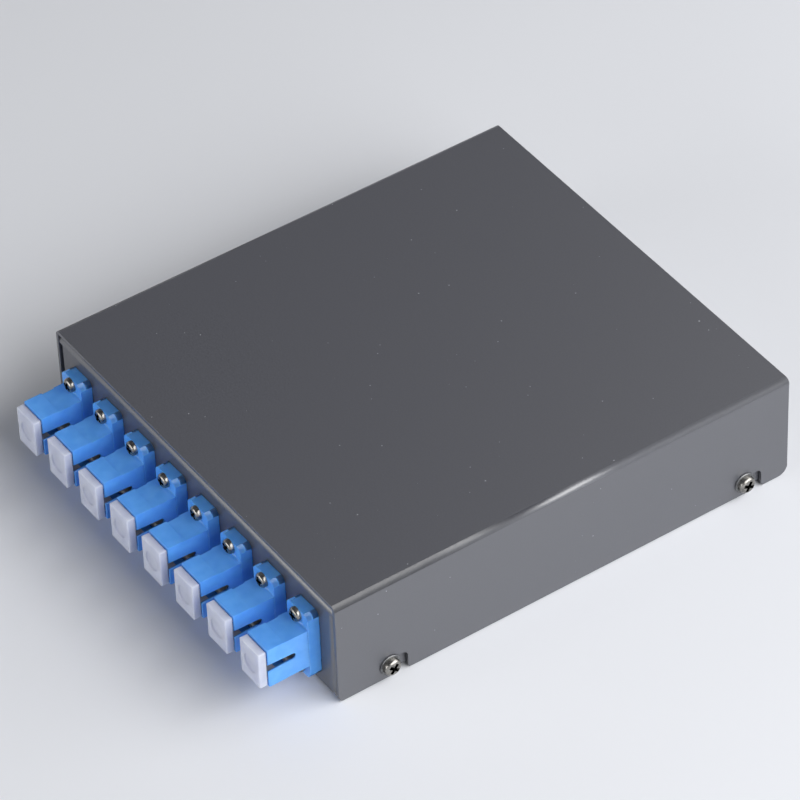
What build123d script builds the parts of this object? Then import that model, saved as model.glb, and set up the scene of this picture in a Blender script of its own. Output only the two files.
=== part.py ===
from build123d import *
import os

# A desktop fibre terminal box: a folded steel tray under a screwed-on steel cover,
# eight SC adapters in the front panel, and a splice tray and cable entries inside.
# X runs along the row of adapters, the front faces -Y and +Z is up.
# The origin is on the desk, under the middle of the base. All sizes are in millimetres.

# Case
case_width = 132.0
case_depth = 144.0
case_height = 33.5
sheet = 1.0

# Cover, an inverted U of sheet steel
cover_inner_bend = 0.6
cover_desk_gap = 0.3
cover_front_corner = 1.5
cover_rear_corner = 3.0

# Tray, a shallow folded pan inside the cover
tray_inner_bend = 1.0
tray_side_gap = 0.3
tray_top_gap = 0.8
tray_end_inset = 0.1
panel_return = 8.0
side_return = 5.0
side_flange_height = 9.0
corner_relief = 1.0

# Cover screws, M3 pan heads with a loose washer, in L-shaped slots
cover_screw_height = 4.6
cover_screw_from_front = 15.8
cover_screw_from_rear = 14.4
cover_screw_shank = 3.0
cover_screw_head = 5.0
cover_screw_head_height = 1.7
cover_screw_length = 6.0
washer_diameter = 6.2
washer_thickness = 0.5
slot_width = 3.4
slot_slide = 4.0
slot_mouth_corner = 1.0
tapped_collar_diameter = 4.6
tapped_collar_length = 1.6

# Row of adapters in the front panel
adapter_count = 8
adapter_pitch = 15.35
adapter_height = 15.5

# SC adapter housing, moulded in one piece with its flange
nose_width = 9.1
nose_height = 12.6
nose_length = 12.3
tail_length = 11.5
collar_length = 5.4
collar_proud = 0.15
relief_length = 3.8
relief_depth = 0.4
flange_width = 9.3
flange_height = 22.1
flange_thickness = 3.6
flange_corner = 1.8
port_width = 7.4
port_height = 9.0
key_slot_width = 2.2
key_slot_length = 8.5
rib_depth = 0.7
rib_thickness = 1.0

# Latch holder, the moulded insert that grips the plugs
holder_plate = 1.6
holder_play = 0.02
barrel_diameter = 4.8
barrel_length = 7.6
barrel_mouth = 2.7
latch_width = 4.0
latch_thickness = 0.8
latch_length = 6.8
latch_inset = 0.2
latch_hook = 0.5

# Split alignment sleeve of zirconia
sleeve_outer = 3.2
sleeve_inner = 2.5
sleeve_length = 11.4
sleeve_slit = 0.4
sleeve_play = 0.05

# Dust cap
cap_width = 8.6
cap_height = 11.6
cap_thickness = 2.3
cap_gap = 0.2
cap_dimple = 5.8
cap_dimple_depth = 1.0
cap_tongue_length = 3.8
cap_tongue_thickness = 0.9
cap_tongue_play = 0.05

# Adapter screws, M2, driven into tapped holes in the panel
adapter_screw_spacing = 18.1
adapter_screw_shank = 2.0
adapter_screw_head = 4.2
adapter_screw_head_height = 1.5
adapter_screw_length = 6.0

# Rubber grommets of the two cable entries in the rear panel
entry_spacing = 84.0
entry_height = 15.0
entry_hole = 14.0
grommet_lip = 18.0
grommet_lip_thickness = 1.6
grommet_bore = 9.0

# Cable saddles inside the entries
saddle_from_rear = 13.0
saddle_width = 8.0
saddle_sheet = 1.2
saddle_foot = 8.0
saddle_screw_shank = 3.0
saddle_screw_head = 5.4
saddle_screw_head_height = 1.9

# Strength member posts beside the saddles
post_offset = 17.0
post_diameter = 6.0
post_height = 10.0
post_hole = 3.0
post_hole_height = 6.0

# Splice tray on four riveted standoffs
splice_width = 104.0
splice_depth = 72.0
splice_centre_y = 9.0
splice_floor = 1.6
splice_wall = 1.5
splice_height = 9.0
splice_corner = 20.0
splice_mouth = 14.0
standoff_height = 4.0
standoff_across = 5.0
standoff_inset = 11.0
standoff_spigot = 3.0
spigot_recess = 0.1
splice_screw_shank = 2.5
splice_screw_head = 4.6
splice_screw_head_height = 1.5
splice_screw_length = 4.0
lid_thickness = 1.2
lid_lip = 1.0
lid_play = 0.15

# Splice comb in the middle of the splice tray
comb_width = 44.0
comb_depth = 24.0
comb_height = 5.0
comb_slots = 8
comb_slot_width = 2.1
comb_floor = 1.2

# Clearance between a screw's shank and the hole it is driven into
thread_play = 0.03
# Clearance of a screw or a rivet in a plain hole
hole_play = 0.2

# Sizes and places that follow from the ones above
cover_outer_bend = cover_inner_bend + sheet
tray_outer_bend = tray_inner_bend + sheet
tray_width = case_width - 2 * (sheet + tray_side_gap)
tray_depth = case_depth - 2 * tray_end_inset
tray_height = case_height - sheet - tray_top_gap
panel_face_y = -tray_depth / 2
rear_face_y = tray_depth / 2
adapter_xs = [(i - (adapter_count - 1) / 2) * adapter_pitch for i in range(adapter_count)]
adapter_screw_zs = [adapter_height + side * adapter_screw_spacing / 2 for side in (-1, 1)]
cover_screw_ys = [-case_depth / 2 + cover_screw_from_front, case_depth / 2 - cover_screw_from_rear]
entry_xs = [-entry_spacing / 2, entry_spacing / 2]
saddle_y = rear_face_y - saddle_from_rear
splice_floor_z = sheet + standoff_height
standoff_x = splice_width / 2 - standoff_inset
standoff_dy = splice_depth / 2 - standoff_inset
standoff_ys = [splice_centre_y - standoff_dy, splice_centre_y + standoff_dy]
standoff_places = [(x, y) for x in (-standoff_x, standoff_x) for y in standoff_ys]
nose_front = flange_thickness + nose_length
rivet_depth = sheet - spigot_recess
holder_y = (tail_length - nose_front) / 2
LOW = (Align.CENTER, Align.CENTER, Align.MIN)


def block(x, y, z):
    """A box between two corners, each given as (low, high) along X, Y and Z."""
    size = [high - low for low, high in (x, y, z)]
    middle = [(high + low) / 2 for low, high in (x, y, z)]
    return Pos(*middle) * Box(*size)


def rod(diameter, low, high):
    """A cylinder on the Y axis between two distances along it."""
    return Pos(0, (low + high) / 2, 0) * Rot(90, 0, 0) * Cylinder(diameter / 2, high - low)


def pan_head(shank, head, head_height, length):
    """A screw with a low head. Its seat is at the origin and its head is up +Z."""
    cap = Cylinder(head / 2, head_height, align=LOW)
    return cap + Pos(0, 0, -length) * Cylinder(shank / 2, length, align=LOW)


def make_cover():
    """An inverted U whose side walls have round lower corners and a slot for each screw."""
    height = case_height - cover_desk_gap
    outer = Pos(0, height / 2) * Rectangle(case_width, height)
    outer = fillet(outer.vertices().group_by(Axis.Y)[-1], cover_outer_bend)
    inner_height = height - sheet
    inner = Pos(0, inner_height / 2) * Rectangle(case_width - 2 * sheet, inner_height)
    inner = fillet(inner.vertices().group_by(Axis.Y)[-1], cover_inner_bend)
    profile = Plane.XZ * (outer - inner)
    cover = Pos(0, case_depth / 2, cover_desk_gap) * extrude(profile, case_depth)
    feet = cover.edges().filter_by(Axis.X).group_by(Axis.Z)[0]
    cover = fillet(feet.group_by(Axis.Y)[0], cover_front_corner)
    feet = cover.edges().filter_by(Axis.X).group_by(Axis.Z)[0]
    cover = fillet(feet.group_by(Axis.Y)[-1], cover_rear_corner)
    return cover - cover_slots()


def cover_slots():
    """Each slot opens at the foot of the cover behind its screw and runs forward to it."""
    slots = None
    for y in cover_screw_ys:
        entry_y = y + slot_slide
        rear_y = entry_y + slot_width / 2
        run = Pos((y + entry_y) / 2, cover_screw_height) * SlotCenterToCenter(slot_slide, slot_width)
        drop = Pos(entry_y, cover_screw_height / 2) * Rectangle(slot_width, cover_screw_height)
        corner = mouth_corner(rear_y, cover_desk_gap, slot_mouth_corner)
        cut = extrude(Plane.YZ * (run + drop + corner), case_width, both=True)
        slots = cut if slots is None else slots + cut
    return slots


def mouth_corner(y, z, radius):
    """What a round corner takes off a sheet that lies behind y and above z."""
    square = Pos(y + radius / 2, z + radius / 2) * Rectangle(radius, radius)
    return square - Pos(y + radius, z + radius) * Circle(radius)


def tray_side_returns():
    """The upright edges of the front and rear panels, folded back along the cover's sides."""
    ring = RectangleRounded(tray_width, tray_depth, tray_outer_bend)
    ring -= RectangleRounded(tray_width - 2 * sheet, tray_depth - 2 * sheet, tray_inner_bend)
    ring -= Rectangle(2 * tray_width, tray_depth - 2 * side_return)
    return Pos(0, 0, tray_outer_bend) * extrude(ring, tray_height - 2 * tray_outer_bend)


def make_base_tray():
    """The floor, front and rear fold round as one strip, and a low flange folds up on each side."""
    outer = Pos(0, tray_height / 2) * Rectangle(tray_depth, tray_height)
    outer = fillet(outer.vertices(), tray_outer_bend)
    inner = Pos(0, tray_height / 2) * Rectangle(tray_depth - 2 * sheet, tray_height - 2 * sheet)
    inner = fillet(inner.vertices(), tray_inner_bend)
    mouth = Pos(0, tray_height) * Rectangle(tray_depth - 2 * panel_return, 4 * sheet)
    tray = extrude(Plane.YZ * (outer - inner - mouth), tray_width / 2, both=True)

    outer = Pos(0, side_flange_height / 2) * Rectangle(tray_width, side_flange_height)
    outer = fillet(outer.vertices().group_by(Axis.Y)[0], tray_outer_bend)
    inner = Pos(0, side_flange_height / 2 + sheet) * Rectangle(tray_width - 2 * sheet, side_flange_height)
    inner = fillet(inner.vertices().group_by(Axis.Y)[0], tray_inner_bend)
    flange_half = tray_depth / 2 - side_return - corner_relief
    flanges = extrude(Plane.XZ * (outer - inner), flange_half, both=True)
    cleared = Box(2 * tray_outer_bend, 2 * (flange_half + corner_relief), 4 * sheet)
    for x in (-tray_width / 2, tray_width / 2):
        tray -= Pos(x, 0, 0) * cleared
    corners = Rectangle(2 * tray_width, 2 * tray_depth)
    corners -= RectangleRounded(tray_width, tray_depth, tray_outer_bend)
    tray -= Pos(0, 0, tray_outer_bend) * extrude(corners, tray_height - 2 * tray_outer_bend)
    tray += flanges + tray_side_returns()

    cutout_width = nose_width + hole_play
    cutout_height = nose_height + hole_play
    for x in adapter_xs:
        tray -= Pos(x, panel_face_y, adapter_height) * Box(cutout_width, 4 * sheet, cutout_height)
        for z in adapter_screw_zs:
            tray -= Pos(x, panel_face_y, z) * rod(adapter_screw_shank + 2 * thread_play, -sheet, 2 * sheet)
    for x in entry_xs:
        tray -= Pos(x, rear_face_y, entry_height) * rod(entry_hole, -2 * sheet, sheet)
    collar = Pos(0, 0, -tapped_collar_length) * Cylinder(
        tapped_collar_diameter / 2, tapped_collar_length, align=LOW
    )
    tray += at_cover_screws(collar, tray_width / 2 - sheet)
    for y in cover_screw_ys:
        bore = Cylinder(cover_screw_shank / 2 + thread_play, tray_width + 2)
        tray -= Pos(0, y, cover_screw_height) * Rot(0, 90, 0) * bore
    for x, y in standoff_places:
        tray -= Pos(x, y, 0) * Cylinder(standoff_spigot / 2 + thread_play, 3 * sheet)
    for x in entry_xs:
        for hole_x in saddle_hole_xs(x):
            tray -= Pos(hole_x, saddle_y, 0) * Cylinder(saddle_screw_shank / 2 + thread_play, 3 * sheet)
        tray -= Pos(post_x(x), saddle_y, 0) * Cylinder(saddle_screw_shank / 2 + thread_play, 3 * sheet)
    return tray


def make_adapter_housing():
    """The housing lies along Y with the back of its flange at y = 0."""
    half_width = nose_width / 2
    nose = block((-half_width, half_width), (-nose_front, 0), (-nose_height / 2, nose_height / 2))
    tail = block((-half_width, half_width), (0, tail_length), (-nose_height / 2, nose_height / 2))
    collar_half = nose_height / 2 + collar_proud
    collar = block(
        (-half_width, half_width), (-nose_front, -nose_front + collar_length), (-collar_half, collar_half)
    )
    flange = Pos(0, -flange_thickness / 2, 0) * Box(flange_width, flange_thickness, flange_height)
    flange = fillet(flange.edges().filter_by(Axis.Y), flange_corner)
    housing = nose + tail + collar + flange

    port = Box(port_width, 3 * (nose_front + tail_length), port_height)
    housing -= port
    ledge_y = holder_y + holder_plate / 2
    rib_y = (ledge_y, ledge_y + rib_thickness)
    ribs = block((-port_width / 2, port_width / 2), rib_y, (-port_height / 2, port_height / 2))
    ribs -= Box(port_width - 2 * rib_depth, 3 * tail_length, port_height)
    housing += ribs

    key = extrude(Plane.YZ * SlotOverall(2 * key_slot_length, key_slot_width), nose_width)
    for mouth_y in (-nose_front, tail_length):
        housing -= Pos(0, mouth_y, 0) * key
    relief_x = (-nose_width, -nose_width / 2 + relief_depth)
    relief_start = -nose_front + collar_length
    relief_y = (relief_start, relief_start + relief_length)
    housing -= block(relief_x, relief_y, (-nose_height, nose_height))
    for z in adapter_screw_zs:
        hole = rod(adapter_screw_shank + hole_play, -2 * flange_thickness, flange_thickness)
        housing -= Pos(0, 0, z - adapter_height) * hole
    return housing


def make_latch_holder():
    """The holder's plate is across the port, with a barrel and two latches each way along Y."""
    plate = Box(port_width - 2 * holder_play, holder_plate, port_height - 2 * holder_play)
    holder = plate + rod(barrel_diameter, -barrel_length, barrel_length)
    latch_top = port_height / 2 - latch_inset
    for side_y in (-1, 1):
        for side_z in (-1, 1):
            arm = Pos(0, side_y * latch_length / 2, side_z * (latch_top - latch_thickness / 2)) * Box(
                latch_width, latch_length, latch_thickness
            )
            hook = Pos(
                0,
                side_y * (latch_length - latch_thickness / 2),
                side_z * (latch_top - latch_thickness - latch_hook / 2),
            ) * Box(latch_width, latch_thickness, latch_hook)
            holder += arm + hook
    chamber = sleeve_length / 2 + sleeve_play
    holder -= rod(sleeve_outer + 2 * sleeve_play, -chamber, chamber)
    holder -= rod(barrel_mouth, -2 * barrel_length, 2 * barrel_length)
    return Pos(0, holder_y, 0) * holder


def make_alignment_sleeve():
    """The sleeve's slit faces down, and the sleeve rests in its chamber."""
    sleeve = rod(sleeve_outer, -sleeve_length / 2, sleeve_length / 2)
    sleeve -= rod(sleeve_inner, -sleeve_length, sleeve_length)
    slit_z = (-sleeve_outer, 0)
    sleeve -= block((-sleeve_slit / 2, sleeve_slit / 2), (-sleeve_length, sleeve_length), slit_z)
    return Pos(0, holder_y, 0) * sleeve


def make_dust_cap():
    """A plate with a round dimple in front and two tongues that enter the port, above and below."""
    back = -nose_front - cap_gap
    cap = Pos(0, back - cap_thickness / 2, 0) * Box(cap_width, cap_thickness, cap_height)
    half_width = port_width / 2 - cap_tongue_play
    top = port_height / 2 - cap_tongue_play
    tongue_y = (back, -nose_front + cap_tongue_length)
    tongues = block((-half_width, half_width), tongue_y, (-top, top))
    inner = top - cap_tongue_thickness
    tongues -= block((-port_width, port_width), (back, 0), (-inner, inner))
    front = back - cap_thickness
    return cap + tongues - rod(cap_dimple, front - 1, front + cap_dimple_depth)


def make_adapter_screws():
    """Two screws for each adapter, seated on the front of its flange."""
    screw = Rot(90, 0, 0) * pan_head(
        adapter_screw_shank, adapter_screw_head, adapter_screw_head_height, adapter_screw_length
    )
    seat_y = panel_face_y - flange_thickness
    return [Pos(x, seat_y, z) * screw for x in adapter_xs for z in adapter_screw_zs]


def at_cover_screws(piece, distance):
    """Copies of a piece made up +Z, laid outwards on each side at a distance from the middle plane."""
    copies = []
    for y in cover_screw_ys:
        copies.append(Pos(distance, y, cover_screw_height) * Rot(0, 90, 0) * piece)
        copies.append(Pos(-distance, y, cover_screw_height) * Rot(0, -90, 0) * piece)
    return copies


def make_cover_screws():
    """Two screws on each side of the cover, each seated on its washer."""
    screw = pan_head(cover_screw_shank, cover_screw_head, cover_screw_head_height, cover_screw_length)
    return at_cover_screws(screw, case_width / 2 + washer_thickness)


def make_cover_washers():
    """Loose washers that bridge the slots, flat against the cover."""
    washer = Cylinder(washer_diameter / 2, washer_thickness, align=LOW)
    washer -= Cylinder(cover_screw_shank / 2 + thread_play, 4 * washer_thickness)
    return at_cover_screws(washer, case_width / 2)


def make_grommet():
    """A grommet on the Y axis, whose groove holds the edge of the rear panel at y = 0."""
    neck = rod(entry_hole - 2 * thread_play, -sheet - grommet_lip_thickness, grommet_lip_thickness)
    outer_lip = rod(grommet_lip, 0, grommet_lip_thickness)
    inner_lip = rod(grommet_lip, -sheet - grommet_lip_thickness, -sheet)
    solid = neck + outer_lip + inner_lip
    return solid - rod(grommet_bore, -4 * grommet_lip_thickness, 4 * grommet_lip_thickness)


def saddle_hole_xs(x):
    """Where the two screws of the saddle at x go through its feet."""
    offset = grommet_bore / 2 + saddle_sheet + saddle_foot / 2
    return [x - offset, x + offset]


def post_x(x):
    """A post stands on the inner side of its saddle."""
    return x - post_offset if x > 0 else x + post_offset


def make_cable_saddle():
    """A strip bent over the cable, with a foot each side; the cable's axis is at the entry's height."""
    rise = entry_height - sheet
    inner = grommet_bore / 2
    outer = inner + saddle_sheet
    arch = Circle(outer) + Pos(0, -rise / 2) * Rectangle(2 * outer, rise)
    reach = outer + saddle_foot
    arch += Pos(0, -rise + saddle_sheet / 2) * Rectangle(2 * reach, saddle_sheet)
    arch -= Circle(inner) + Pos(0, -rise) * Rectangle(2 * inner, 2 * rise)
    saddle = Pos(0, saddle_width / 2, 0) * extrude(Plane.XZ * arch, saddle_width)
    for x in saddle_hole_xs(0):
        saddle -= Pos(x, 0, -rise) * Cylinder(saddle_screw_shank / 2 + hole_play, 4 * saddle_sheet)
    return saddle


def make_saddle_screws():
    """Two screws for each saddle, driven into tapped holes in the floor."""
    length = saddle_sheet + rivet_depth
    screw = pan_head(saddle_screw_shank, saddle_screw_head, saddle_screw_head_height, length)
    seat_z = sheet + saddle_sheet
    return [Pos(hole_x, saddle_y, seat_z) * screw for x in entry_xs for hole_x in saddle_hole_xs(x)]


def make_strength_posts():
    """Posts for the cables' strength members, each with a cross hole under its clamping screw."""
    post = Cylinder(post_diameter / 2, post_height, align=LOW)
    post += Pos(0, 0, -rivet_depth) * Cylinder(saddle_screw_shank / 2, rivet_depth, align=LOW)
    post -= Pos(0, 0, post_hole_height) * rod(post_hole, -post_diameter, post_diameter)
    return [Pos(post_x(x), saddle_y, sheet) * post for x in entry_xs]


def splice_outline(grow):
    """The splice tray's outline, grown outwards on every side."""
    width = splice_width + 2 * grow
    depth = splice_depth + 2 * grow
    return RectangleRounded(width, depth, splice_corner + grow)


def make_splice_tray():
    """A moulded dish with rounded ends, a mouth near each front corner and a hole for each screw."""
    dish = extrude(splice_outline(0), splice_height)
    hollow = Pos(0, 0, splice_floor) * extrude(splice_outline(-splice_wall), splice_height)
    tray = dish - hollow
    for side in (-1, 1):
        mouth_x = side * (splice_width / 2 - splice_corner - splice_mouth / 2)
        tray -= Pos(mouth_x, -splice_depth / 2, splice_floor) * Box(
            splice_mouth, 4 * splice_wall, splice_height, align=LOW
        )
    hole = Cylinder(splice_screw_shank / 2 + hole_play, 4 * splice_floor)
    for x, y in standoff_places:
        tray -= Pos(x, y - splice_centre_y, 0) * hole
    return Pos(0, splice_centre_y, splice_floor_z) * tray


def make_splice_lid():
    """A flat lid with a lip that drops inside the dish's wall."""
    plate = extrude(splice_outline(0), lid_thickness)
    lip = extrude(splice_outline(-splice_wall - lid_play), -lid_lip)
    lip -= Pos(0, 0, -2 * lid_lip) * extrude(splice_outline(-2 * splice_wall - lid_play), 3 * lid_lip)
    lid_z = splice_floor_z + splice_height
    return Pos(0, splice_centre_y, lid_z) * (plate + (lip - plate))


def make_splice_comb():
    """A soft block with a row of grooves, one for each protected splice."""
    comb = Box(comb_width, comb_depth, comb_height, align=LOW)
    pitch = comb_depth / comb_slots
    for i in range(comb_slots):
        y = (i - (comb_slots - 1) / 2) * pitch
        comb -= Pos(0, y, comb_floor) * Box(2 * comb_width, comb_slot_width, comb_height, align=LOW)
    return Pos(0, splice_centre_y, splice_floor_z + splice_floor) * comb


def make_standoffs():
    """Hexagonal pillars riveted into the floor, each tapped from above."""
    post = extrude(RegularPolygon(standoff_across / 2, 6, major_radius=False), standoff_height)
    post += Pos(0, 0, -rivet_depth) * Cylinder(standoff_spigot / 2, rivet_depth, align=LOW)
    bore_depth = splice_screw_length - splice_floor + hole_play
    bore = Cylinder(splice_screw_shank / 2 + thread_play, bore_depth, align=LOW)
    post -= Pos(0, 0, standoff_height - bore_depth) * bore
    return [Pos(x, y, sheet) * post for x, y in standoff_places]


def make_splice_screws():
    """Four screws that hold the splice tray down on its standoffs."""
    screw = pan_head(splice_screw_shank, splice_screw_head, splice_screw_head_height, splice_screw_length)
    return [Pos(x, y, splice_floor_z + splice_floor) * screw for x, y in standoff_places]


def save(name, shape):
    """Writes one piece, or a group of like fasteners, to its own file."""
    solids = shape if isinstance(shape, list) else [shape]
    whole = Compound(children=[solid for piece in solids for solid in piece.solids()])
    export_step(whole, os.path.join("parts", name + ".step"))


os.makedirs("parts", exist_ok=True)

save("cover", make_cover())
save("base_tray", make_base_tray())
save("cover_screws", make_cover_screws())
save("cover_screw_washers", make_cover_washers())

housing = make_adapter_housing()
holder = make_latch_holder()
sleeve = make_alignment_sleeve()
cap = make_dust_cap()
for number, x in enumerate(adapter_xs, start=1):
    place = Pos(x, panel_face_y, adapter_height)
    save(f"adapter_housing_{number}", place * housing)
    save(f"latch_holder_{number}", place * holder)
    save(f"alignment_sleeve_{number}", place * sleeve)
    save(f"dust_cap_{number}", place * cap)
save("adapter_screws", make_adapter_screws())

grommet = make_grommet()
saddle = make_cable_saddle()
for side, x in zip(("left", "right"), entry_xs):
    save(f"cable_grommet_{side}", Pos(x, rear_face_y, entry_height) * grommet)
    save(f"cable_saddle_{side}", Pos(x, saddle_y, entry_height) * saddle)
save("saddle_screws", make_saddle_screws())
save("strength_member_posts", make_strength_posts())

save("splice_tray", make_splice_tray())
save("splice_tray_lid", make_splice_lid())
save("splice_comb", make_splice_comb())
save("splice_tray_standoffs", make_standoffs())
save("splice_tray_screws", make_splice_screws())
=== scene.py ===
from math import cos, pi, radians, sin, tau

import bmesh
import bpy
from mathutils import Matrix, Vector


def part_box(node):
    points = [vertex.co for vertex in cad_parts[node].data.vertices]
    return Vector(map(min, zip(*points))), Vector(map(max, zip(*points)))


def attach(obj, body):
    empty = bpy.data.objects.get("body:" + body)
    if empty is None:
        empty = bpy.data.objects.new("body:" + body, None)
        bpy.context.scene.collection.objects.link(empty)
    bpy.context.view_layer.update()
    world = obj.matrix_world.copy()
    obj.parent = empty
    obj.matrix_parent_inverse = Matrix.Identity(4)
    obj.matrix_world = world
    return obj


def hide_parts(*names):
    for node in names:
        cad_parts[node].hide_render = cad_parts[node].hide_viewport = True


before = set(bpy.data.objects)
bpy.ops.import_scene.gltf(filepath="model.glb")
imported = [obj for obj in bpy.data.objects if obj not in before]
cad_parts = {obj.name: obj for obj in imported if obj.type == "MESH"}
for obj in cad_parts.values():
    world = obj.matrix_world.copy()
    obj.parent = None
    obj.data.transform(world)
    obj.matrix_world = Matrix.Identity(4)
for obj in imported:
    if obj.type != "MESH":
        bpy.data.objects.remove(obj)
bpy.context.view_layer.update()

# Millimetres, the unit that the pieces' sizes are written in.
mm = 0.001


# Cover: an inverted U of 1 mm steel sheet, folded on a press brake and powder coated after folding.
# The coat rounds its cut edges a little. It drops over the tray, slides forward on its slots and
# is clamped by the four side screws.
coat_edge = 0.2 * mm
coat_grain = 0.5 * mm
coat_ripple = 2.6 * mm
# Painted glints: the spacing, size and colour of pale spots that stand in for flake catching the light.
glint_spacing = 2.8 * mm
glint_radius = 0.25 * mm
coat_shades = [(0.35, "#3a3b42"), (0.65, "#43454d")]
painted_glint_colour = "#a2a4aa"

# How edges are rounded: the shortest edge and the least turn that are rounded, the share of an edge
# beside it that a rounding may take, and what counts as straight on, as one point and as one flat face.
shortest_rounded = 1.0 * mm
least_rounded_turn = radians(35)
share_beside = 0.45
straight_on = radians(25)
one_point = 0.002 * mm
one_flat = radians(0.6)


def linear(hex_value):
    """The linear colour that a shader needs for an sRGB hex value."""
    channels = [int(hex_value[i : i + 2], 16) / 255 for i in (1, 3, 5)]
    return (*(c / 12.92 if c <= 0.04045 else ((c + 0.055) / 1.055) ** 2.4 for c in channels), 1.0)


def add(tree, kind, settings=None, links=None):
    """Adds a node, sets its sockets, properties or shades by name, and links its inputs to other outputs."""
    node = tree.nodes.new(kind)
    for name, value in (settings or {}).items():
        if name == "Shades":
            for element, (position, hex_value) in zip(node.color_ramp.elements, value):
                element.position = position
                element.color = linear(hex_value)
        elif hasattr(node, name):
            setattr(node, name, value)
        else:
            node.inputs[name].default_value = value
    for name, source in (links or {}).items():
        tree.links.new(source, node.inputs[name])
    return node


def new_finish(name, settings):
    """A material with one Principled shader, and the tree and shader to build on."""
    finish = bpy.data.materials.new(name)
    finish.use_nodes = True
    tree = finish.node_tree
    shader = tree.nodes["Principled BSDF"]
    for socket, value in settings.items():
        shader.inputs[socket].default_value = value
    return finish, tree, shader


def weigh_edges(form, width):
    """Marks the long outer edges for rounding, less wide where a short edge beside one leaves no room."""
    weights = form.edges.layers.float.new("bevel_weight_edge")
    for edge in form.edges:
        sharp = edge.is_convex and edge.calc_face_angle(0) >= least_rounded_turn
        if not sharp or edge.calc_length() < shortest_rounded:
            continue
        room = width
        for vert in edge.verts:
            along = edge.other_vert(vert).co - vert.co
            for beside in vert.link_edges:
                onward = vert.co - beside.other_vert(vert).co
                if beside is not edge and along.angle(onward, 0) > straight_on:
                    room = min(room, share_beside * onward.length)
        edge[weights] = room / width


def rounded(name, edge, finish, body="case", segments=2, change=None, twin=None):
    """Puts a copy of a CAD piece, or of its twin, in its place, with joined faces and rounded edges."""
    twin = twin or name
    form = bmesh.new()
    form.from_mesh(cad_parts[twin].data)
    bmesh.ops.remove_doubles(form, verts=form.verts, dist=one_point)
    if change:
        change(form)
    bmesh.ops.dissolve_limit(form, angle_limit=one_flat, verts=form.verts, edges=form.edges)
    weigh_edges(form, edge)
    bmesh.ops.translate(form, vec=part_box(name)[0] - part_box(twin)[0], verts=form.verts)
    mesh = bpy.data.meshes.new(name + "_form")
    form.to_mesh(mesh)
    form.free()
    piece = bpy.data.objects.new(name + "_rounded", mesh)
    bpy.context.scene.collection.objects.link(piece)
    bevel = piece.modifiers.new("rounded edges", "BEVEL")
    bevel.width = edge
    bevel.segments = segments
    bevel.limit_method = "WEIGHT"
    bevel.use_clamp_overlap = False
    settle(piece)
    stand_for(piece, [name], finish, body)


def settle(piece):
    """Applies a piece's modifiers, and shades it smooth with flat faces kept flat."""
    piece.data.shade_smooth()
    normals = piece.modifiers.new("flat faces", "WEIGHTED_NORMAL")
    normals.keep_sharp = True
    graph = bpy.context.evaluated_depsgraph_get()
    mesh = bpy.data.meshes.new_from_object(piece.evaluated_get(graph))
    piece.modifiers.clear()
    piece.data = mesh
    mesh.name = piece.name


def stand_for(piece, nodes, finish, body="case"):
    """Gives a piece its finish and its place in the part."""
    piece.data.materials.clear()
    piece.data.materials.append(finish)
    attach(piece, body)
    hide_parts(*nodes)


# Powder coat: grey polyester with a little metal flake, which lifts its reflection above plain paint's.
# It has a fine sand texture and a satin sheen: broad soft highlights and a slight grain. Small pale
# spots are painted into its colour as glints of the flake, a painted highlight.
powder_coat, tree, shader = new_finish("powder_coated_steel_fine_texture", {"IOR": 2.3})
place = add(tree, "ShaderNodeTexCoord").outputs["Object"]
grain = add(
    tree, "ShaderNodeTexNoise", {"Scale": 1 / coat_grain, "Detail": 2.0, "Roughness": 0.6}, {"Vector": place}
)
ripple = add(tree, "ShaderNodeTexNoise", {"Scale": 1 / coat_ripple, "Detail": 2.0}, {"Vector": place})
# Painted glints: pale spots mixed into the base colour, standing in for flake catching the light.
glint_spots = add(tree, "ShaderNodeTexVoronoi", {"Scale": 1 / glint_spacing}, {"Vector": place})
glint_size = add(
    tree,
    "ShaderNodeMapRange",
    {"From Min": 0.45, "From Max": 1.0, "To Min": 0.0, "To Max": glint_radius / glint_spacing},
    {"Value": glint_spots.outputs["Color"]},
)
glint_mask = add(tree, "ShaderNodeMath", {"operation": "LESS_THAN"})
tree.links.new(glint_spots.outputs["Distance"], glint_mask.inputs[0])
tree.links.new(glint_size.outputs["Result"], glint_mask.inputs[1])
plain = add(tree, "ShaderNodeValToRGB", {"Shades": coat_shades}, {"Fac": grain.outputs["Fac"]})
mix = add(
    tree,
    "ShaderNodeMixRGB",
    {"Color2": linear(painted_glint_colour)},
    {"Fac": glint_mask.outputs["Value"], "Color1": plain.outputs["Color"]},
)
tree.links.new(mix.outputs["Color"], shader.inputs["Base Color"])
sheen = add(
    tree,
    "ShaderNodeMapRange",
    {"From Min": 0.3, "From Max": 0.7, "To Min": 0.36, "To Max": 0.48},
    {"Value": grain.outputs["Fac"]},
)
tree.links.new(sheen.outputs["Result"], shader.inputs["Roughness"])
broad = add(
    tree, "ShaderNodeBump", {"Strength": 0.12, "Distance": 0.05 * mm}, {"Height": ripple.outputs["Fac"]}
)
fine = add(
    tree,
    "ShaderNodeBump",
    {"Strength": 0.35, "Distance": 0.03 * mm},
    {"Height": grain.outputs["Fac"], "Normal": broad.outputs["Normal"]},
)
tree.links.new(fine.outputs["Normal"], shader.inputs["Normal"])

rounded("cover", coat_edge, powder_coat)


# Base tray: 1 mm steel sheet. Its floor, front panel and rear panel fold round as one strip, and a low
# flange on each side is tapped for the cover screws. It has the same powder coat as the cover.
rounded("base_tray", coat_edge, powder_coat)


# Adapter housings: blue PBT, injection moulded in one piece with the flange, with the key slot cut
# through the right wall. The mould leaves small radii on the long edges and a satin skin. All eight are
# one moulding, so the second one's form serves for all.
housing_edge = 0.35 * mm
housing_shades = [(0.35, "#5ba4f9"), (0.65, "#63acff")]
housing_flow = 3.0 * mm
housing_skin = 0.5 * mm

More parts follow.
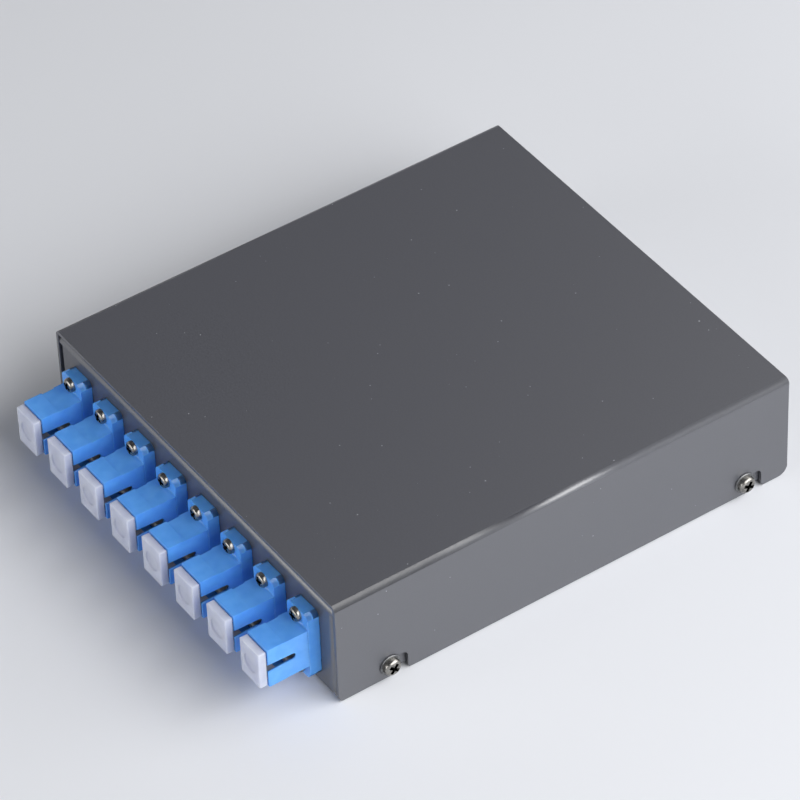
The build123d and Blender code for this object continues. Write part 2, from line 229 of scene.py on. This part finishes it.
blue_pbt, tree, shader = new_finish(
    "blue_PBT_moulded",
    {
        "Roughness": 0.2,
        "IOR": 1.55,
        "Subsurface Weight": 0.25,
        "Subsurface Radius": (0.2, 0.4, 1.0),
        "Subsurface Scale": 0.8 * mm,
    },
)
place = add(tree, "ShaderNodeTexCoord").outputs["Object"]
flow = add(tree, "ShaderNodeTexNoise", {"Scale": 1 / housing_flow, "Detail": 1.0}, {"Vector": place})
skin = add(tree, "ShaderNodeTexNoise", {"Scale": 1 / housing_skin, "Detail": 2.0}, {"Vector": place})
blue = add(tree, "ShaderNodeValToRGB", {"Shades": housing_shades}, {"Fac": flow.outputs["Fac"]})
tree.links.new(blue.outputs["Color"], shader.inputs["Base Color"])
bump = add(
    tree, "ShaderNodeBump", {"Strength": 0.08, "Distance": 0.02 * mm}, {"Height": skin.outputs["Fac"]}
)
tree.links.new(bump.outputs["Normal"], shader.inputs["Normal"])

adapter_numbers = range(1, 9)
for number in adapter_numbers:
    name = f"adapter_housing_{number}"
    rounded(name, housing_edge, blue_pbt, twin="adapter_housing_2")


# Latch holders: natural PBT inserts, each with a barrel for the alignment sleeve and two latches
# each way that grip the plugs. Moulded, unpainted, slightly milky.
holder_edge = 0.08 * mm
holder_cloud = 2.0 * mm
holder_shades = [(0.3, "#d6d2c6"), (0.7, "#e2dfd6")]

natural_pbt, tree, shader = new_finish(
    "natural_PBT_moulded",
    {
        "Roughness": 0.4,
        "Subsurface Weight": 0.3,
        "Subsurface Radius": (1.0, 0.9, 0.8),
        "Subsurface Scale": 1.0 * mm,
    },
)
place = add(tree, "ShaderNodeTexCoord").outputs["Object"]
cloud = add(tree, "ShaderNodeTexNoise", {"Scale": 1 / holder_cloud, "Detail": 2.0}, {"Vector": place})
milk = add(tree, "ShaderNodeValToRGB", {"Shades": holder_shades}, {"Fac": cloud.outputs["Fac"]})
tree.links.new(milk.outputs["Color"], shader.inputs["Base Color"])
for number in adapter_numbers:
    rounded(f"latch_holder_{number}", holder_edge, natural_pbt)


# Alignment sleeves: split tubes of zirconia, ground and polished, loose in the holders' barrels.
# Polished ceramic gives a hard small highlight on a warm white body.
sleeve_edge = 0.04 * mm
sleeve_cloud = 1.5 * mm
sleeve_shades = [(0.3, "#ece8de"), (0.7, "#f2efe8")]

zirconia, tree, shader = new_finish(
    "zirconia_ceramic_polished", {"Roughness": 0.12, "IOR": 2.1, "Subsurface Weight": 0.1}
)
place = add(tree, "ShaderNodeTexCoord").outputs["Object"]
cloud = add(tree, "ShaderNodeTexNoise", {"Scale": 1 / sleeve_cloud, "Detail": 1.0}, {"Vector": place})
ceramic = add(tree, "ShaderNodeValToRGB", {"Shades": sleeve_shades}, {"Fac": cloud.outputs["Fac"]})
tree.links.new(ceramic.outputs["Color"], shader.inputs["Base Color"])
for number in adapter_numbers:
    rounded(f"alignment_sleeve_{number}", sleeve_edge, zirconia)


# Dust caps: natural polyethylene, moulded, with two tongues that enter the port, above and below, and
# a round dimple in front. Milky, with light spread inside, so that their edges look soft.
cap_edge = 0.24 * mm
cap_dimple_solid = 1.0 * mm
cap_dimple_depth = 0.5 * mm
cap_cloud = 3.5 * mm
cap_shades = [(0.3, "#bcc1d6"), (0.7, "#c7ccde")]

cap_polyethylene, tree, shader = new_finish(
    "natural_polyethylene_moulded",
    {
        "Roughness": 0.36,
        "IOR": 1.51,
        "Subsurface Weight": 0.9,
        "Subsurface Radius": (1.0, 1.0, 1.1),
        "Subsurface Scale": 4.0 * mm,
    },
)
place = add(tree, "ShaderNodeTexCoord").outputs["Object"]
cloud = add(tree, "ShaderNodeTexNoise", {"Scale": 1 / cap_cloud, "Detail": 2.0}, {"Vector": place})
milk = add(tree, "ShaderNodeValToRGB", {"Shades": cap_shades}, {"Fac": cloud.outputs["Fac"]})
tree.links.new(milk.outputs["Color"], shader.inputs["Base Color"])
bump = add(tree, "ShaderNodeBump", {"Strength": 0.1, "Distance": 0.1 * mm}, {"Height": cloud.outputs["Fac"]})
tree.links.new(bump.outputs["Normal"], shader.inputs["Normal"])


def shallow_dimple(form):
    """Lifts the floor of the dimple, which the photograph shows shallower than the solid has it."""
    front = min(vert.co.y for vert in form.verts)
    for vert in form.verts:
        if abs(vert.co.y - front - cap_dimple_solid) < one_point:
            vert.co.y = front + cap_dimple_depth


for number in adapter_numbers:
    name = f"dust_cap_{number}"
    rounded(
        name,
        cap_edge,
        cap_polyethylene,
        body=name,
        segments=3,
        change=shallow_dimple,
    )


# Adapter screws: M2 pan heads with a cross recess, nickel plated, two to an adapter, driven through
# the flange into tapped holes in the panel. Each ends at its own angle.
adapter_screw_shank = 2.0 * mm
adapter_screw_head = 4.2 * mm
adapter_screw_head_height = 1.5 * mm
adapter_screw_length = 6.0 * mm
adapter_screw_thread = 0.4 * mm
adapter_screw_spacing = 18.1 * mm
nickel_shades = [(0.3, "#767571"), (0.7, "#a5a29c")]
plate_wear = 0.9 * mm
# Painted shade: a near-black colour for the faces down in the cross recess.
painted_recess_shade = "#262523"
crease = radians(40)


def plated_finish(name, plate_shades, smoothest, roughest):
    """A plated metal with a bright skin and dull patches, and painted shade down in the recesses."""
    finish, tree, shader = new_finish(name, {"Metallic": 1.0})
    place = add(tree, "ShaderNodeTexCoord").outputs["Object"]
    wear = add(tree, "ShaderNodeTexNoise", {"Scale": 1 / plate_wear, "Detail": 3.0}, {"Vector": place})
    plate = add(tree, "ShaderNodeValToRGB", {"Shades": plate_shades}, {"Fac": wear.outputs["Fac"]})
    # Painted shade: faces marked as recess take the near-black colour.
    recess = add(tree, "ShaderNodeAttribute", {"attribute_name": "recess"})
    recess_shaded_plate = add(
        tree,
        "ShaderNodeMixRGB",
        {"Color2": linear(painted_recess_shade)},
        {"Fac": recess.outputs["Fac"], "Color1": plate.outputs["Color"]},
    )
    tree.links.new(recess_shaded_plate.outputs["Color"], shader.inputs["Base Color"])
    dull = add(
        tree,
        "ShaderNodeMapRange",
        {"From Min": 0.3, "From Max": 0.7, "To Min": smoothest, "To Max": roughest},
        {"Value": wear.outputs["Fac"]},
    )
    tree.links.new(dull.outputs["Result"], shader.inputs["Roughness"])
    return finish


def lathe(form, profile, steps):
    """Turns a closed profile of (radius, height) points about Z into a closed surface."""
    rings = []
    for radius, height in profile:
        if radius == 0:
            rings.append([form.verts.new((0, 0, height))])
        else:
            angles = [tau * i / steps for i in range(steps)]
            rings.append([form.verts.new((radius * cos(a), radius * sin(a), height)) for a in angles])
    for ring, following in zip(rings, rings[1:] + rings[:1]):
        for i in range(steps):
            corners = [ring[i % len(ring)], ring[(i + 1) % steps % len(ring)]]
            corners += [following[(i + 1) % steps % len(following)], following[i % len(following)]]
            corners = list(dict.fromkeys(corners))
            if len(corners) > 2:
                form.faces.new(corners)
    bmesh.ops.recalc_face_normals(form, faces=form.faces)


def cross_cutter(reach, width, top, bottom):
    """A cross that tapers downwards, which cuts the recess of a screw's head."""
    bottom_reach = 0.5 * reach
    bottom_width = 0.8 * width
    form = bmesh.new()
    outlines = []
    for height, a, b in ((top, reach, width), (bottom, bottom_reach, bottom_width)):
        outline = [(a, -b), (a, b), (b, b), (b, a), (-b, a), (-b, b), (-a, b), (-a, -b), (-b, -b), (-b, -a)]
        outline += [(b, -a), (b, -b)]
        outlines.append([form.verts.new((x, y, height)) for x, y in outline])
    upper, lower = outlines
    form.faces.new(upper)
    form.faces.new(lower[::-1])
    for i in range(len(upper)):
        j = (i + 1) % len(upper)
        form.faces.new((upper[j], upper[i], lower[i], lower[j]))
    bmesh.ops.recalc_face_normals(form, faces=form.faces)
    mesh = bpy.data.meshes.new("cross_cutter")
    form.to_mesh(mesh)
    form.free()
    return bpy.data.objects.new("cross_cutter", mesh)


def cross_screw(name, shank, head, head_height, length, thread):
    """A pan-head screw along Z with its seat at the origin, its thread turned and its cross recess cut."""
    head_steps = 40
    dome_steps = 5
    flat = 0.55 * head / 2
    rim = 0.35 * head_height
    form = bmesh.new()
    profile = [(0, head_height), (flat, head_height)]
    for i in range(1, dome_steps + 1):
        angle = pi / 2 * i / dome_steps
        radius = flat + (head / 2 - flat) * sin(angle)
        profile.append((radius, rim + (head_height - rim) * cos(angle)))
    profile += [(head / 2, 0), (0, 0)]
    lathe(form, profile, head_steps)

    thread_steps = 16
    rows_a_turn = 2
    thread_depth = 0.54 * thread
    crest, root = shank / 2, shank / 2 - thread_depth
    rows = int(length / thread * rows_a_turn)
    grid = []
    for row in range(rows + 1):
        ring = []
        for i in range(thread_steps):
            turn = i / thread_steps
            height = -length * row / rows
            wave = abs(((height / thread + turn) % 1.0) * 2 - 1)
            radius = root + (crest - root) * wave
            ring.append(form.verts.new((radius * cos(tau * turn), radius * sin(tau * turn), height)))
        grid.append(ring)
    for upper, lower in zip(grid, grid[1:]):
        for i in range(thread_steps):
            j = (i + 1) % thread_steps
            form.faces.new((upper[j], upper[i], lower[i], lower[j]))
    form.faces.new(grid[0])
    form.faces.new(grid[-1][::-1])
    bmesh.ops.recalc_face_normals(form, faces=form.faces)
    mesh = bpy.data.meshes.new(name)
    form.to_mesh(mesh)
    form.free()

    recess_reach = 0.37 * head
    recess_width = 0.1 * head
    recess_floor = 0.15 * head_height
    recess_rim = 0.85 * head_height
    cutter_top = 1.2 * head_height
    screw = bpy.data.objects.new(name, mesh)
    cutter = cross_cutter(recess_reach, recess_width, cutter_top, recess_floor)
    for part in (screw, cutter):
        bpy.context.scene.collection.objects.link(part)
    recess = screw.modifiers.new("recess", "BOOLEAN")
    recess.operation = "DIFFERENCE"
    recess.object = cutter
    recess.solver = "EXACT"
    graph = bpy.context.evaluated_depsgraph_get()
    cut = bpy.data.meshes.new_from_object(screw.evaluated_get(graph))
    screw.modifiers.clear()
    screw.data = cut
    # Marks the faces of the cross recess, which the finish paints dark as painted shade.
    recess_faces = cut.attributes.new("recess", "FLOAT", "FACE")
    for face, mark in zip(cut.polygons, recess_faces.data):
        inside = face.center.xy.length < recess_reach and 0 < face.center.z < recess_rim
        mark.value = 1.0 if inside else 0.0
    cut.shade_smooth()
    cut.set_sharp_from_angle(angle=crease)
    bpy.data.objects.remove(cutter)
    return screw


def fastener_tree():
    """Sets a fastener on each point along its outward direction, turned by a random angle about it."""
    tree = bpy.data.node_groups.new("fasteners_on_points", "GeometryNodeTree")
    for name, kind in (
        ("Points", "NodeSocketGeometry"),
        ("Fastener", "NodeSocketObject"),
        ("Seed", "NodeSocketInt"),
        ("Finish", "NodeSocketMaterial"),
    ):
        tree.interface.new_socket(name=name, in_out="INPUT", socket_type=kind)
    tree.interface.new_socket(name="Geometry", in_out="OUTPUT", socket_type="NodeSocketGeometry")
    given = add(tree, "NodeGroupInput").outputs
    source = add(tree, "GeometryNodeObjectInfo", links={"Object": given["Fastener"]})
    outwards = add(
        tree, "GeometryNodeInputNamedAttribute", {"data_type": "FLOAT_VECTOR", "Name": "outwards"}
    )
    aligned = add(
        tree, "FunctionNodeAlignRotationToVector", {"axis": "Z"}, {"Vector": outwards.outputs["Attribute"]}
    )
    placed = add(
        tree,
        "GeometryNodeInstanceOnPoints",
        links={
            "Points": given["Points"],
            "Instance": source.outputs["Geometry"],
            "Rotation": aligned.outputs["Rotation"],
        },
    )
    angle = add(tree, "FunctionNodeRandomValue", {"data_type": "FLOAT_VECTOR"}, {"Seed": given["Seed"]})
    angle.inputs["Min"].default_value = (0, 0, 0)
    angle.inputs["Max"].default_value = (0, 0, tau)
    turned = add(
        tree,
        "GeometryNodeRotateInstances",
        links={"Instances": placed.outputs["Instances"], "Rotation": angle.outputs["Value"]},
    )
    real = add(tree, "GeometryNodeRealizeInstances", links={"Geometry": turned.outputs["Instances"]})
    coated = add(
        tree,
        "GeometryNodeSetMaterial",
        links={"Geometry": real.outputs["Geometry"], "Material": given["Finish"]},
    )
    add(tree, "NodeGroupOutput", links={"Geometry": coated.outputs["Geometry"]})
    return tree


def fasteners(name, nodes, fastener, seats, seed, finish):
    """One piece with a fastener on each seat, a (place, outward direction) pair, for the nodes named."""
    mesh = bpy.data.meshes.new(name)
    mesh.from_pydata([place for place, outwards in seats], [], [])
    directions = mesh.attributes.new("outwards", "FLOAT_VECTOR", "POINT")
    for item, (place, outwards) in zip(directions.data, seats):
        item.vector = outwards
    piece = bpy.data.objects.new(name, mesh)
    bpy.context.scene.collection.objects.link(piece)
    placing = piece.modifiers.new("placing", "NODES")
    placing.node_group = on_points
    values = {"Fastener": fastener, "Seed": seed, "Finish": finish}
    for item in on_points.interface.items_tree:
        if item.in_out == "INPUT" and item.name in values:
            placing[item.identifier] = values[item.name]
    graph = bpy.context.evaluated_depsgraph_get()
    made = bpy.data.meshes.new_from_object(piece.evaluated_get(graph))
    piece.modifiers.clear()
    piece.data = made
    bpy.data.objects.remove(fastener)
    stand_for(piece, nodes, finish)


nickel = plated_finish("nickel_plated_steel", nickel_shades, smoothest=0.22, roughest=0.34)
on_points = fastener_tree()
adapter_screw_seat_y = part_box("adapter_screws")[0].y + adapter_screw_head_height
adapter_screw_seats = []
for number in adapter_numbers:
    low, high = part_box(f"adapter_housing_{number}")
    centre = (low + high) / 2
    for side in (-1, 1):
        place = (centre.x, adapter_screw_seat_y, centre.z + side * adapter_screw_spacing / 2)
        adapter_screw_seats.append((place, (0, -1, 0)))
adapter_screw = cross_screw(
    "adapter_screw",
    adapter_screw_shank,
    adapter_screw_head,
    adapter_screw_head_height,
    adapter_screw_length,
    adapter_screw_thread,
)
fasteners(
    "adapter_screws_detailed",
    ["adapter_screws"],
    adapter_screw,
    adapter_screw_seats,
    seed=7,
    finish=nickel,
)


# Cover screws: M3 pan heads with a cross recess, nickel plated, two on each side. Each clamps the cover
# through a loose washer into a tapped collar in the tray's flange.
cover_screw_shank = 3.0 * mm
cover_screw_head = 5.0 * mm
cover_screw_head_height = 1.7 * mm
cover_screw_length = 6.0 * mm
cover_screw_thread = 0.5 * mm
washer_outer = 6.2 * mm
washer_inner = 3.06 * mm
washer_thickness = 0.5 * mm
washer_edge = 0.12 * mm
washer_shades = [(0.3, "#68696a"), (0.7, "#8c8d8e")]

screws_low, screws_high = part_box("cover_screws")
washers_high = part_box("cover_screw_washers")[1]
screw_radius = cover_screw_head / 2
cover_screw_seats = []
washer_seats = []
for side in (-1, 1):
    seat_x = side * (screws_high.x - cover_screw_head_height)
    face_x = side * (washers_high.x - washer_thickness)
    for y in (screws_low.y + screw_radius, screws_high.y - screw_radius):
        z = screws_low.z + screw_radius
        cover_screw_seats.append(((seat_x, y, z), (side, 0, 0)))
        washer_seats.append(((face_x, y, z), (side, 0, 0)))
cover_screw = cross_screw(
    "cover_screw",
    cover_screw_shank,
    cover_screw_head,
    cover_screw_head_height,
    cover_screw_length,
    cover_screw_thread,
)
fasteners(
    "cover_screws_detailed",
    ["cover_screws"],
    cover_screw,
    cover_screw_seats,
    seed=3,
    finish=nickel,
)


def turned(name, profile, steps=48):
    """A turned or moulded ring: a closed profile of (radius, height) points turned about Z."""
    form = bmesh.new()
    lathe(form, profile, steps)
    mesh = bpy.data.meshes.new(name)
    form.to_mesh(mesh)
    form.free()
    mesh.shade_smooth()
    mesh.set_sharp_from_angle(angle=crease)
    ring = bpy.data.objects.new(name, mesh)
    bpy.context.scene.collection.objects.link(ring)
    return ring


dull_nickel = plated_finish("nickel_plated_steel_dull", washer_shades, smoothest=0.4, roughest=0.52)
washer = turned(
    "washer",
    [
        (washer_inner / 2, washer_edge),
        (washer_inner / 2 + washer_edge, 0),
        (washer_outer / 2 - washer_edge, 0),
        (washer_outer / 2, washer_edge),
        (washer_outer / 2, washer_thickness - washer_edge),
        (washer_outer / 2 - washer_edge, washer_thickness),
        (washer_inner / 2 + washer_edge, washer_thickness),
        (washer_inner / 2, washer_thickness - washer_edge),
    ],
)
fasteners(
    "cover_washers_detailed",
    ["cover_screw_washers"],
    washer,
    washer_seats,
    seed=5,
    finish=dull_nickel,
)


# Cable grommets: moulded black rubber, with rounded lips on both faces of the rear panel and a groove
# between them for the sheet. Matt, with a faint bloom.
lip_outer = 18.0 * mm
lip_thickness = 1.6 * mm
lip_round = 0.6 * mm
grommet_neck = 13.94 * mm
grommet_bore = 9.0 * mm
panel_sheet = 1.0 * mm
round_steps = 5
rubber_bloom = 1.6 * mm
rubber_shades = [(0.35, "#1b1b1d"), (0.7, "#2b2b2e")]

rubber, tree, shader = new_finish("black_rubber_moulded", {"IOR": 1.52})
place = add(tree, "ShaderNodeTexCoord").outputs["Object"]
bloom = add(tree, "ShaderNodeTexNoise", {"Scale": 1 / rubber_bloom, "Detail": 3.0}, {"Vector": place})
black = add(tree, "ShaderNodeValToRGB", {"Shades": rubber_shades}, {"Fac": bloom.outputs["Fac"]})
tree.links.new(black.outputs["Color"], shader.inputs["Base Color"])
matt = add(
    tree,
    "ShaderNodeMapRange",
    {"From Min": 0.3, "From Max": 0.7, "To Min": 0.7, "To Max": 0.85},
    {"Value": bloom.outputs["Fac"]},
)
tree.links.new(matt.outputs["Result"], shader.inputs["Roughness"])


def quarter(radius, height, reach, start):
    """Points of a quarter round about (radius, height), from an angle in quarter turns."""
    angles = [pi / 2 * (start + i / round_steps) for i in range(round_steps + 1)]
    return [(radius + reach * cos(a), height + reach * sin(a)) for a in angles]


def grommet_profile():
    """Once round the section, from the bore's outer mouth to the panel's outer face and back inside."""
    outer, bore = lip_outer / 2, grommet_bore / 2
    far = -panel_sheet - lip_thickness
    points = quarter(bore + lip_round, far + lip_round, lip_round, 2)
    points += quarter(outer - lip_round, far + lip_round, lip_round, 3)
    points += [(outer, -panel_sheet), (grommet_neck / 2, -panel_sheet), (grommet_neck / 2, 0), (outer, 0)]
    points += quarter(outer - lip_round, lip_thickness - lip_round, lip_round, 0)
    points += quarter(bore + lip_round, lip_thickness - lip_round, lip_round, 1)
    return points


for side in ("left", "right"):
    low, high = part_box(f"cable_grommet_{side}")
    centre = (low + high) / 2
    fasteners(
        f"cable_grommet_{side}_moulded",
        [f"cable_grommet_{side}"],
        turned("grommet", grommet_profile(), steps=64),
        [((centre.x, high.y - lip_thickness, centre.z), (0, 1, 0))],
        seed=1,
        finish=rubber,
    )


# Cable saddles: strips of 1.2 mm steel bent over the cable, nickel plated, each held to the floor by
# two screws. Their cut edges are tumbled round.
saddle_edge = 0.2 * mm
saddle_screw_head = 5.4 * mm
saddle_screw_head_height = 1.9 * mm
saddle_screw_length = 2.1 * mm
saddle_screw_inset = 4.0 * mm

saddle_screw_seat_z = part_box("saddle_screws")[1].z - saddle_screw_head_height
saddle_screw_seats = []
for side in ("left", "right"):
    rounded(f"cable_saddle_{side}", saddle_edge, nickel)
    low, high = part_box(f"cable_saddle_{side}")
    y = (low.y + high.y) / 2
    for x in (low.x + saddle_screw_inset, high.x - saddle_screw_inset):
        saddle_screw_seats.append(((x, y, saddle_screw_seat_z), (0, 0, 1)))
saddle_screw = cross_screw(
    "saddle_screw",
    cover_screw_shank,
    saddle_screw_head,
    saddle_screw_head_height,
    saddle_screw_length,
    cover_screw_thread,
)
fasteners(
    "saddle_screws_detailed",
    ["saddle_screws"],
    saddle_screw,
    saddle_screw_seats,
    seed=11,
    finish=nickel,
)


# Strength member posts: turned steel, nickel plated, riveted into the floor, with a cross hole that
# takes the cable's aramid yarn or rod.
post_edge = 0.15 * mm

rounded("strength_member_posts", post_edge, nickel)


# Splice tray: white ABS, moulded with a fine matt skin. It guides the fibres round its ends in large
# bends and holds the splices in the middle.
tray_edge = 0.3 * mm
tray_skin = 0.8 * mm
tray_shades = [(0.35, "#dcdcd8"), (0.65, "#e4e4e0")]

white_abs, tree, shader = new_finish("white_ABS_moulded", {"Roughness": 0.5, "IOR": 1.53})
place = add(tree, "ShaderNodeTexCoord").outputs["Object"]
skin = add(tree, "ShaderNodeTexNoise", {"Scale": 1 / tray_skin, "Detail": 2.0}, {"Vector": place})
white = add(tree, "ShaderNodeValToRGB", {"Shades": tray_shades}, {"Fac": skin.outputs["Fac"]})
tree.links.new(white.outputs["Color"], shader.inputs["Base Color"])
bump = add(
    tree, "ShaderNodeBump", {"Strength": 0.15, "Distance": 0.03 * mm}, {"Height": skin.outputs["Fac"]}
)
tree.links.new(bump.outputs["Normal"], shader.inputs["Normal"])
rounded("splice_tray", tray_edge, white_abs)


# Splice tray lid: clear polycarbonate, moulded, with a lip that drops inside the tray's wall.
# Polished, so it shows as a thin sheen over the tray.
lid_edge = 0.25 * mm
lid_haze = 6.0 * mm
lid_tint = "#f1f5f6"

clear_pc, tree, shader = new_finish(
    "clear_polycarbonate_polished",
    {"IOR": 1.585, "Transmission Weight": 1.0, "Base Color": linear(lid_tint)},
)
place = add(tree, "ShaderNodeTexCoord").outputs["Object"]
haze = add(tree, "ShaderNodeTexNoise", {"Scale": 1 / lid_haze, "Detail": 2.0}, {"Vector": place})
clear = add(
    tree,
    "ShaderNodeMapRange",
    {"From Min": 0.3, "From Max": 0.7, "To Min": 0.03, "To Max": 0.09},
    {"Value": haze.outputs["Fac"]},
)
tree.links.new(clear.outputs["Result"], shader.inputs["Roughness"])
rounded("splice_tray_lid", lid_edge, clear_pc)


# Splice comb: soft grey foamed rubber, cut with a groove for each splice protector. Its skin is open
# and matt.
comb_edge = 0.15 * mm
foam_cell = 0.35 * mm
foam_shades = [(0.1, "#4c4d50"), (0.6, "#6c6d70")]

foam, tree, shader = new_finish("grey_foamed_rubber", {"Roughness": 0.85})
place = add(tree, "ShaderNodeTexCoord").outputs["Object"]
cells = add(tree, "ShaderNodeTexVoronoi", {"Scale": 1 / foam_cell}, {"Vector": place}).outputs["Distance"]
grey = add(tree, "ShaderNodeValToRGB", {"Shades": foam_shades}, {"Fac": cells})
tree.links.new(grey.outputs["Color"], shader.inputs["Base Color"])
bump = add(tree, "ShaderNodeBump", {"Strength": 0.4, "Distance": 0.08 * mm}, {"Height": cells})
tree.links.new(bump.outputs["Normal"], shader.inputs["Normal"])
rounded("splice_comb", comb_edge, foam)


# Splice tray standoffs and screws: hexagonal steel posts riveted into the floor, and an M2.5 pan head
# screw into each. All nickel plated.
standoff_edge = 0.12 * mm
splice_screw_shank = 2.5 * mm
splice_screw_head = 4.6 * mm
splice_screw_head_height = 1.5 * mm
splice_screw_length = 4.0 * mm
splice_screw_thread = 0.45 * mm

rounded("splice_tray_standoffs", standoff_edge, nickel)
screws_low, screws_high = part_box("splice_tray_screws")
screw_radius = splice_screw_head / 2
splice_screw_seats = [
    ((x, y, screws_high.z - splice_screw_head_height), (0, 0, 1))
    for x in (screws_low.x + screw_radius, screws_high.x - screw_radius)
    for y in (screws_low.y + screw_radius, screws_high.y - screw_radius)
]
splice_screw = cross_screw(
    "splice_screw",
    splice_screw_shank,
    splice_screw_head,
    splice_screw_head_height,
    splice_screw_length,
    splice_screw_thread,
)
fasteners(
    "splice_screws_detailed",
    ["splice_tray_screws"],
    splice_screw,
    splice_screw_seats,
    seed=13,
    finish=nickel,
)


# Camera: where the photograph was taken from, found from the edges of the case, which is
# 132 mm wide. A long lens from about 1.4 m, turned slightly about its axis.
camera_azimuth = radians(56.866)
camera_elevation = radians(42.27)
camera_roll = radians(-2.375)
camera_lens = 235.99
camera_shift_right = 6.125 * mm
camera_shift_up = -12.657 * mm
camera_distance = 1405.54 * mm

back = Vector(
    (
        sin(camera_azimuth) * cos(camera_elevation),
        -cos(camera_azimuth) * cos(camera_elevation),
        sin(camera_elevation),
    )
)
level_right = Vector((0, 0, 1)).cross(back).normalized()
level_up = back.cross(level_right)
right = level_right * cos(camera_roll) + level_up * sin(camera_roll)
up = -level_right * sin(camera_roll) + level_up * cos(camera_roll)
camera_data = bpy.data.cameras.new("camera")
camera_data.lens = camera_lens
camera_data.sensor_width = 36.0
camera_data.sensor_fit = "HORIZONTAL"
camera_data.clip_start = 0.05
camera_data.clip_end = 20.0
camera = bpy.data.objects.new("camera", camera_data)
bpy.context.scene.collection.objects.link(camera)
turn = Matrix((right, up, back)).transposed()
offset = Vector((camera_shift_right, camera_shift_up, -camera_distance))
camera.matrix_world = Matrix.Translation(-(turn @ offset)) @ turn.to_4x4()
bpy.context.scene.camera = camera


# Studio: a pale floor and soft light. A wide panel stands at the right and rear, where its reflection runs
# along the cover's bend, with a weak one high behind and one in front for the caps. Their sizes and places
# are in metres. The room has pale walls under a dim ceiling, and lights the pieces less than it shows.
floor_colour = "#e3e5ea"
room_shades = [(0.1, "#e9ebf0"), (0.5, "#616166")]
room_light = 0.22
floor_reach = 4000 * mm

floor_mesh = bpy.data.meshes.new("floor")
corners = [(x * floor_reach, y * floor_reach, 0) for x, y in ((-1, -1), (1, -1), (1, 1), (-1, 1))]
floor_mesh.from_pydata(corners, [], [(0, 1, 2, 3)])
floor = bpy.data.objects.new("floor", floor_mesh)
bpy.context.scene.collection.objects.link(floor)
paper, tree, shader = new_finish("pale_paper", {"Base Color": linear(floor_colour), "Roughness": 0.9})
floor_mesh.materials.append(paper)

world = bpy.data.worlds.new("room")
world.use_nodes = True
bpy.context.scene.world = world
tree = world.node_tree
rays = add(tree, "ShaderNodeLightPath").outputs
direction = add(tree, "ShaderNodeTexCoord").outputs["Generated"]
height = add(tree, "ShaderNodeSeparateXYZ", links={"Vector": direction}).outputs["Z"]
room = add(tree, "ShaderNodeValToRGB", {"Shades": room_shades}, {"Fac": height})
tree.links.new(room.outputs["Color"], tree.nodes["Background"].inputs["Color"])
direct = add(tree, "ShaderNodeMath", {"operation": "MAXIMUM"})
tree.links.new(rays["Is Camera Ray"], direct.inputs[0])
tree.links.new(rays["Is Glossy Ray"], direct.inputs[1])
seen = add(tree, "ShaderNodeMath", {"operation": "MAXIMUM"})
tree.links.new(direct.outputs["Value"], seen.inputs[0])
tree.links.new(rays["Is Transmission Ray"], seen.inputs[1])
strength = add(
    tree,
    "ShaderNodeMapRange",
    {"From Min": 0.0, "From Max": 1.0, "To Min": room_light, "To Max": 1.0},
    {"Value": seen.outputs["Value"]},
)
tree.links.new(strength.outputs["Result"], tree.nodes["Background"].inputs["Strength"])


def soft_light(name, power, size, position, target):
    """A panel of light at a position, aimed at a target."""
    data = bpy.data.lights.new(name, "AREA")
    data.energy = power
    data.shape = "RECTANGLE"
    data.size, data.size_y = size
    light = bpy.data.objects.new(name, data)
    bpy.context.scene.collection.objects.link(light)
    light.location = position
    light.rotation_mode = "QUATERNION"
    light.rotation_quaternion = (Vector(position) - Vector(target)).to_track_quat("Z", "Y")


middle = (0, 0, 0.02)
soft_light("key_panel", power=26.5, size=(1.9, 0.95), position=(0.81, 0.51, 0.72), target=middle)
soft_light("rear_panel", power=0.6, size=(0.45, 0.45), position=(-0.25, 0.55, 0.75), target=middle)
soft_light("front_fill", power=4.8, size=(1.1, 0.4), position=(-0.08, -1.0, 0.3), target=(0, -0.05, 0.02))

bpy.context.scene.view_settings.view_transform = "Standard"
